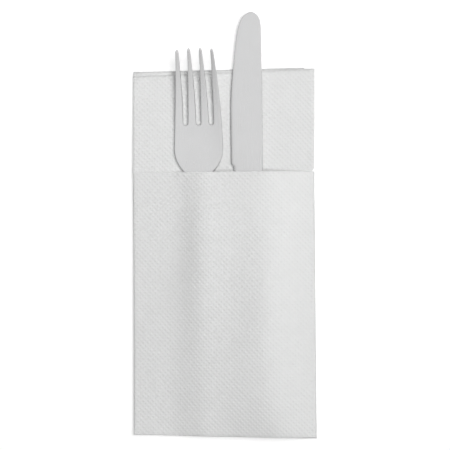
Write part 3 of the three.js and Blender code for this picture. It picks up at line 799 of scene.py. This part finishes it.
def height_course(napkin, front_y):
    """Rows of the sheet: y, distance w from the back, outer side (ny, nw), and the front row that
    each one follows, or -1."""
    rows = []

    def flat(ys, w, side, follows):
        for y, row in zip(ys, follows):
            rows.append((y, w, 0, side, row))

    def turn(axis, w, radius, degrees, row):
        for a in np.radians(degrees):
            rows.append((axis + radius * math.cos(a), w + radius * math.sin(a),
                         math.cos(a), math.sin(a), row))

    spread = napkin.mouth + FOLD_SPREAD_RUN
    back = np.concatenate([
        np.linspace(napkin.top, spread, ABOVE_ROWS, endpoint=False),
        np.linspace(spread, napkin.mouth, SPREAD_ROWS, endpoint=False),
        np.linspace(napkin.mouth, napkin.foot_axis, BEHIND_ROWS),
    ])
    flat(back, 0, -1, [-1] * len(back))
    turn(napkin.foot_axis, PITCH, PITCH, np.linspace(-112, -248, FOLD_POINTS), -1)
    last = len(front_y) - 1
    flat(front_y, 2 * PITCH, 1, range(last + 1))
    turn(napkin.mouth_axis, 1.5 * PITCH, PITCH / 2, np.linspace(67, -67, FOLD_POINTS), last)
    hem = np.flatnonzero(front_y > napkin.mouth - napkin.mouth_drop)[::-1]
    flat(front_y[hem], PITCH, -1, hem)
    return np.array(rows)


def width_course(napkin, front_shares):
    """Columns of the sheet. Each gives x and z for how far the layers stand apart, the pocket's
    direction, the slip at the foot and at the top, and whether it drapes. Heights and radii are
    handed over in pitches."""
    columns = []

    def level(share, start, end, z, up, foot, top, drapes):
        def at(s, y):
            return blend(start(s, y), end(s, y), share), SHEET / 2 + PITCH * z(s), 0, up
        columns.append((at, foot, top, drapes))

    def turn(x, z, radius, press, degrees, inward, foot, top):
        for a in np.radians(degrees):
            def at(s, y, out=press * math.cos(a), up=math.sin(a)):
                reach = radius(s) * PITCH
                height = SHEET / 2 + PITCH * z(s)
                return x(s, y) + reach * out, height + reach * up, inward * out, inward * up
            columns.append((at, foot, top, False))

    left, right = napkin.pressed_axis, lambda s, y: napkin.right_axis + 0 * s
    for f in np.linspace(1, 0, REAR_COLUMNS):
        level(f, left, lambda s, y: napkin.left_axis(s, y) + REAR_PANEL, lambda s: 2 * s, -1,
              0, -TOP_SLANT - REAR_DROP * f, False)
    turn(left, lambda s: 4 * s + 1.5, lambda s: 2 * s + 1.5, FOLD_PRESS,
         np.linspace(255, 105, LEFT_FOLD_POINTS), 1, 0, -TOP_SLANT)
    for f in front_shares:
        level(f, left, right, lambda s: 6 * s + 3, 1,
              FOOT_SLANT * f, TOP_SLANT * (f - 1), True)
    turn(right, lambda s: 6 * s + 2.5, lambda s: 0.5 + 0 * s, 1,
         np.linspace(67, -67, FOLD_POINTS), 1, FOOT_SLANT, 0)
    for f in np.linspace(1, 0, HIDDEN_COLUMNS):
        level(f, left, right, lambda s: 6 * s + 2, -1, FOOT_SLANT * f, 0, False)
    turn(left, lambda s: 4 * s + 1.5, lambda s: 2 * s + 0.5, FOLD_PRESS,
         np.linspace(110, 250, INNER_FOLD_POINTS), -1, 0, 0)
    for f in np.linspace(0, 1, HIDDEN_COLUMNS):
        level(f, left, lambda s, y: napkin.left_axis(s, y) + INNER_PANEL, lambda s: 2 * s + 1, 1,
              0, INNER_CLIMB * f, False)
    return columns


def fold_drift(napkin, x, y):
    """How far the side folds, laid by hand, stray from straight lines."""
    above = smooth(y, napkin.mouth, napkin.mouth + STRAY_RUN)
    up = np.clip((y + napkin.top) / (napkin.mouth + napkin.top), 0, 1)

    def stray(places, share):
        foot, mouth, high = places
        return blend(blend(foot, mouth, share), high, above)

    left = stray(LEFT_STRAY, up ** 3) * smooth(-x, 0, napkin.width / 2)
    right = stray(RIGHT_STRAY, up) * smooth(x, 0, napkin.width / 2)
    return left + right


def ripple(x, y):
    """Slight unevenness of the folded stack, as a share of its height."""
    broad = np.sin(x * 61 + y * 17 + 0.6) * np.sin(y * 43 - x * 12 + 1.1)
    return RIPPLE * broad + FINE_RIPPLE * np.sin(x * 131 - y * 71 + 2.0)


def sheet_side(napkin, rows, columns, lift, side):
    """Points of one face of the sheet, row by row."""
    y, w, ny, nw, follows = rows.T
    front = follows >= 0
    foot, mouth, top = -napkin.top, napkin.mouth, napkin.top
    to_mouth = 1 - np.clip((y - foot) / (mouth - foot), 0, 1)
    to_top = (y - foot) / (top - foot)
    points = []
    drape_column = 0
    for at, foot_slip, top_slip, drapes in columns:
        slip = np.where(front, foot_slip * to_mouth, blend(foot_slip, top_slip, to_top))
        settled = SETTLED * smooth(y + slip, napkin.settle_start, napkin.settle_start + SETTLE_RUN)
        x, z, pocket_x, pocket_z = at(1 - settled, y)
        reach = w + side * SHEET / 2 * nw
        raised = 0
        if drapes:
            foot_share = np.clip(w / (2 * PITCH), 0, 1)
            raised = np.where(front, lift[follows.astype(int), drape_column],
                              lift[0, drape_column] * foot_share)
            drape_column += 1
        px, pz = x + reach * pocket_x, z + reach * pocket_z + raised
        py = y + side * SHEET / 2 * ny + slip
        px = px + fold_drift(napkin, px, py)
        points.append(np.stack([px, py, pz * (1 + ripple(px, py))], -1))
    return np.stack(points, 1)


def grid_faces(rows, columns):
    """Faces of both sides of the sheet and of its four cut edges."""
    out = np.arange(rows * columns).reshape(rows, columns)
    inn = out + rows * columns

    def quads(a, b, c, d):
        return np.stack([a, b, c, d], -1).reshape(-1, 4)

    return np.concatenate([
        quads(out[:-1, :-1], out[:-1, 1:], out[1:, 1:], out[1:, :-1]),
        quads(inn[:-1, :-1], inn[1:, :-1], inn[1:, 1:], inn[:-1, 1:]),
        quads(out[:-1, 0], out[1:, 0], inn[1:, 0], inn[:-1, 0]),
        quads(out[1:, -1], out[:-1, -1], inn[:-1, -1], inn[1:, -1]),
        quads(out[0, 1:], out[0, :-1], inn[0, :-1], inn[0, 1:]),
        quads(out[-1, :-1], out[-1, 1:], inn[-1, 1:], inn[-1, :-1]),
    ])


def lay_out_flat(mesh, outer):
    """Gives each corner its place on the unfolded sheet, in metres."""
    steps_down = np.linalg.norm(np.diff(outer, axis=0), axis=2).mean(1)
    steps_across = np.linalg.norm(np.diff(outer, axis=1), axis=2).mean(0)
    down = np.concatenate([[0], np.cumsum(steps_down)])
    across = np.concatenate([[0], np.cumsum(steps_across)])
    place = np.stack(np.meshgrid(across, down), -1).reshape(-1, 2)
    corners = np.zeros(len(mesh.loops), np.int32)
    mesh.loops.foreach_get("vertex_index", corners)
    layer = mesh.uv_layers.new(name="flat_sheet")
    layer.uv.foreach_set("vector", place[corners % len(place)].astype(np.float32).ravel())


class POUCH_OT_napkin(Operator):
    """Fold the sheet into a pouch and drape its front over the cutlery"""

    bl_idname = "pouch.napkin"
    bl_label = "Fold the napkin"

    def execute(self, context):
        scene = context.scene
        napkin = scene.pouch_napkin
        left, right = napkin.pressed_axis(1, 0), napkin.right_axis
        across = np.linspace(left, right, round((right - left) / DRAPE_CELL) + 1)
        run = napkin.mouth_axis - napkin.foot_axis
        up = np.linspace(napkin.foot_axis, napkin.mouth_axis, round(run / DRAPE_CELL) + 1)
        lift = drape(napkin, scene.pouch_fork, scene.pouch_knife, across, up)
        rows = height_course(napkin, up)
        columns = width_course(napkin, np.linspace(0, 1, len(across)))
        outer = sheet_side(napkin, rows, columns, lift, 1)
        inner = sheet_side(napkin, rows, columns, lift, -1)
        points = np.concatenate([outer.reshape(-1, 3), inner.reshape(-1, 3)])
        faces = grid_faces(len(rows), len(columns))
        piece = new_piece("pouch_napkin", points.tolist(), faces.tolist(), paper_finish(napkin))
        lay_out_flat(piece.data, outer)
        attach(piece, "root")
        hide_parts("napkin")
        return {"FINISHED"}


# Finishes.

def set_values(node, values):
    """Sets a node's inputs and settings by their names."""
    for key, value in values.items():
        socket = key.replace("_", " ")
        if socket in node.inputs:
            node.inputs[socket].default_value = value
        else:
            setattr(node, key, value)


def new_finish(name, **values):
    """A material and its shader."""
    material = bpy.data.materials.new(name)
    material.use_nodes = True
    shader = material.node_tree.nodes["Principled BSDF"]
    set_values(shader, values)
    return material, shader


def add_node(owner, kind, links=(), **values):
    """A node with its inputs and settings, linked from (input, socket) pairs."""
    node = owner.node_tree.nodes.new("ShaderNode" + kind)
    set_values(node, values)
    for key, source in links:
        owner.node_tree.links.new(source, node.inputs[key])
    return node


def add_math(owner, operation, first, second):
    """A sum or a product of two sockets, or of a socket and a number."""
    node = add_node(owner, "Math", [(0, first)], operation=operation)
    if isinstance(second, float):
        node.inputs[1].default_value = second
    else:
        owner.node_tree.links.new(second, node.inputs[1])
    return node.outputs["Value"]


def add_tint(owner, colour, noise, *stops):
    """A colour that varies with a noise between (place, share of the colour) stops."""
    tint = add_node(owner, "ValToRGB", [("Fac", noise.outputs["Fac"])])
    for element, (place, share) in zip(tint.color_ramp.elements, stops):
        element.position = place
        element.color = (*(np.array(colour) * share), 1)
    return tint.outputs["Color"]


def paper_finish(napkin):
    """Soft white tissue paper with a close diagonal lattice of pressed dots."""
    material, shader = new_finish(
        "embossed_paper", Roughness=0.95, Specular_IOR_Level=0.15,
        Subsurface_Weight=0.5, Subsurface_Scale=0.5 * MM, Subsurface_Radius=(1, 1, 1))
    link = material.node_tree.links.new
    flat = add_node(material, "UVMap", uv_map="flat_sheet")
    pitch = napkin.emboss_pitch
    turned = add_node(material, "Mapping", [("Vector", flat.outputs["UV"])],
                      Rotation=(0, 0, math.radians(45)), Scale=(1 / pitch, 1 / pitch, 1))
    dots = add_node(material, "TexVoronoi", [("Vector", turned.outputs["Vector"])],
                    voronoi_dimensions="2D", Scale=1.0, Randomness=0.0)
    pressed = add_node(material, "MapRange", [("Value", dots.outputs["Distance"])],
                       interpolation_type="SMOOTHSTEP", From_Min=0.16, From_Max=0.46)
    body = add_node(material, "TexCoord")
    fibres = add_node(material, "TexNoise", [("Vector", body.outputs["Object"])],
                      Scale=1400.0, Detail=5.0, Roughness=0.65)
    cloud = add_node(material, "TexNoise", [("Vector", body.outputs["Object"])],
                     Scale=95.0, Detail=4.0, Roughness=0.6)
    tint = add_tint(material, napkin.paper, cloud, (0.3, 0.985), (0.7, 1.01))
    link(tint, shader.inputs["Base Color"])
    grain = add_node(material, "Bump", [("Height", fibres.outputs["Fac"])],
                     Strength=0.35, Distance=0.00006)
    emboss = add_node(material, "Bump",
                      [("Height", pressed.outputs["Result"]), ("Normal", grain.outputs["Normal"])],
                      Strength=1.0, Distance=napkin.emboss_depth)
    link(emboss.outputs["Normal"], shader.inputs["Normal"])
    return material


def steel_finish(name, steel):
    """Polished stainless steel with fine lengthwise brushing and faint rubbing marks."""
    material, shader = new_finish(name, Metallic=1.0)
    link = material.node_tree.links.new
    body = add_node(material, "TexCoord")
    drawn = add_node(material, "Mapping", [("Vector", body.outputs["Object"])],
                     Scale=(2600.0, 45.0, 2600.0))
    brushed = add_node(material, "TexNoise", [("Vector", drawn.outputs["Vector"])],
                       Scale=1.0, Detail=3.0, Roughness=0.55)
    rubbed = add_node(material, "TexNoise", [("Vector", body.outputs["Object"])],
                      Scale=60.0, Detail=5.0, Roughness=0.6)
    tint = add_tint(material, steel, rubbed, (0.25, 0.975), (0.75, 1.02))
    link(tint, shader.inputs["Base Color"])
    dull = add_node(material, "MapRange", [("Value", brushed.outputs["Fac"])],
                    From_Min=0.25, From_Max=0.75,
                    To_Min=STEEL_ROUGHNESS * 0.85, To_Max=STEEL_ROUGHNESS * 1.2)
    link(dull.outputs["Result"], shader.inputs["Roughness"])
    marks = add_node(material, "Bump", [("Height", brushed.outputs["Fac"])],
                     Strength=0.12, Distance=0.00002)
    link(marks.outputs["Normal"], shader.inputs["Normal"])
    return material


def floor_finish(stage):
    """A pale floor that the camera and the steel see as white, and that keeps the shadow."""
    material, shader = new_finish(
        "pale_floor", Base_Color=(*stage.floor, 1), Roughness=0.9,
        Specular_IOR_Level=0.0, Emission_Color=(1, 1, 1, 1))
    path = add_node(material, "LightPath").outputs
    seen = add_math(material, "ADD", path["Is Camera Ray"], path["Is Glossy Ray"])
    shown = add_math(material, "ADD", seen, path["Is Transmission Ray"])
    glow = add_math(material, "MULTIPLY", shown, FLOOR_GLOW)
    material.node_tree.links.new(glow, shader.inputs["Emission Strength"])
    return material


class POUCH_OT_stage(Operator):
    """Set up the floor, the soft light and the camera"""

    bl_idname = "pouch.stage"
    bl_label = "Set the stage"

    def execute(self, context):
        stage = context.scene.pouch_stage
        self.floor(context, stage)
        self.sky(context)
        self.light(context, stage)
        self.camera(context, stage)
        context.scene.view_settings.view_transform = "Standard"
        return {"FINISHED"}

    def floor(self, context, stage):
        """A wide floor just below the napkin."""
        mesh = bpy.data.meshes.new("floor")
        corners = [(-1, -1), (1, -1), (1, 1), (-1, 1)]
        places = [(x * FLOOR_REACH, y * FLOOR_REACH, -FLOOR_DROP) for x, y in corners]
        mesh.from_pydata(places, [], [(0, 1, 2, 3)])
        mesh.materials.append(floor_finish(stage))
        floor = bpy.data.objects.new("floor", mesh)
        context.scene.collection.objects.link(floor)

    def sky(self, context):
        """Soft light from overhead that fades towards the horizon."""
        world = bpy.data.worlds.new("soft_room")
        world.use_nodes = True
        context.scene.world = world
        way = add_node(world, "TexCoord")
        from_middle = add_node(world, "Mapping", [("Vector", way.outputs["Generated"])],
                               vector_type="TEXTURE", Location=SKY_MIDDLE, Scale=SKY_SPAN)
        sideways = add_node(world, "VectorMath", [(0, from_middle.outputs["Vector"])],
                            operation="MULTIPLY")
        sideways.inputs[1].default_value = (1, 1, 0)
        off = add_node(world, "VectorMath", [(0, sideways.outputs["Vector"])], operation="LENGTH")
        bright = add_node(world, "MapRange", [("Value", off.outputs["Value"])],
                          interpolation_type="SMOOTHSTEP", From_Min=SKY_FADE[0],
                          From_Max=SKY_FADE[1], To_Min=SKY_HIGH, To_Max=SKY_LOW)
        path = add_node(world, "LightPath")
        share = add_node(world, "MapRange", [("Value", path.outputs["Is Diffuse Ray"])],
                         To_Min=1.0, To_Max=SKY_SHARE)
        strength = add_math(world, "MULTIPLY", bright.outputs["Result"], share.outputs["Result"])
        background = world.node_tree.nodes["Background"]
        background.inputs["Color"].default_value = (1, 1, 1, 1)
        world.node_tree.links.new(strength, background.inputs["Strength"])

    def light(self, context, stage):
        """A round soft light above the napkin, hidden from the steel."""
        lamp = bpy.data.lights.new("soft_light", "AREA")
        lamp.shape = "DISK"
        lamp.size = LIGHT_SIZE
        lamp.energy = stage.light_power
        light = bpy.data.objects.new("soft_light", lamp)
        light.location = LIGHT_PLACE
        back = light.location - Vector(LIGHT_AIM)
        light.rotation_euler = back.to_track_quat("Z", "Y").to_euler()
        light.visible_glossy = False
        context.scene.collection.objects.link(light)

    def camera(self, context, stage):
        """A camera above the napkin that leans a little to the right."""
        lens = bpy.data.cameras.new("camera")
        lens.sensor_width = CAMERA_SENSOR
        lens.lens = CAMERA_LENS
        camera = bpy.data.objects.new("camera", lens)
        tilt, away = stage.camera_tilt, stage.camera_distance
        camera.location = Vector(CAMERA_AIM) + Vector((math.sin(tilt), 0, math.cos(tilt))) * away
        camera.rotation_euler = (0, tilt, 0)
        context.scene.collection.objects.link(camera)
        context.scene.camera = camera


class POUCH_PT_panel(Panel):
    """The pouch napkin's sizes and steps"""

    bl_idname = "POUCH_PT_panel"
    bl_label = "Pouch napkin"
    bl_space_type = "VIEW_3D"
    bl_region_type = "UI"
    bl_category = "Pouch napkin"

    def draw(self, context):
        for step in STEPS:
            self.layout.operator(step.bl_idname)
        for group in SETTINGS:
            box = self.layout.box()
            settings = getattr(context.scene, group)
            for key in settings.__annotations__:
                box.prop(settings, key)


SETTINGS = {
    "pouch_napkin": NapkinSettings,
    "pouch_fork": ForkSettings,
    "pouch_knife": KnifeSettings,
    "pouch_stage": StageSettings,
}
STEPS = [POUCH_OT_fork, POUCH_OT_knife, POUCH_OT_napkin, POUCH_OT_stage]


def register():
    for name, group in SETTINGS.items():
        bpy.utils.register_class(group)
        setattr(bpy.types.Scene, name, PointerProperty(type=group))
    for step in STEPS:
        bpy.utils.register_class(step)
    bpy.utils.register_class(POUCH_PT_panel)


def unregister():
    bpy.utils.unregister_class(POUCH_PT_panel)
    for step in reversed(STEPS):
        bpy.utils.unregister_class(step)
    for name, group in SETTINGS.items():
        delattr(bpy.types.Scene, name)
        bpy.utils.unregister_class(group)


def main():
    register()
    bpy.ops.pouch.fork()
    bpy.ops.pouch.knife()
    bpy.ops.pouch.napkin()
    bpy.ops.pouch.stage()


if __name__ == "__main__":
    main()
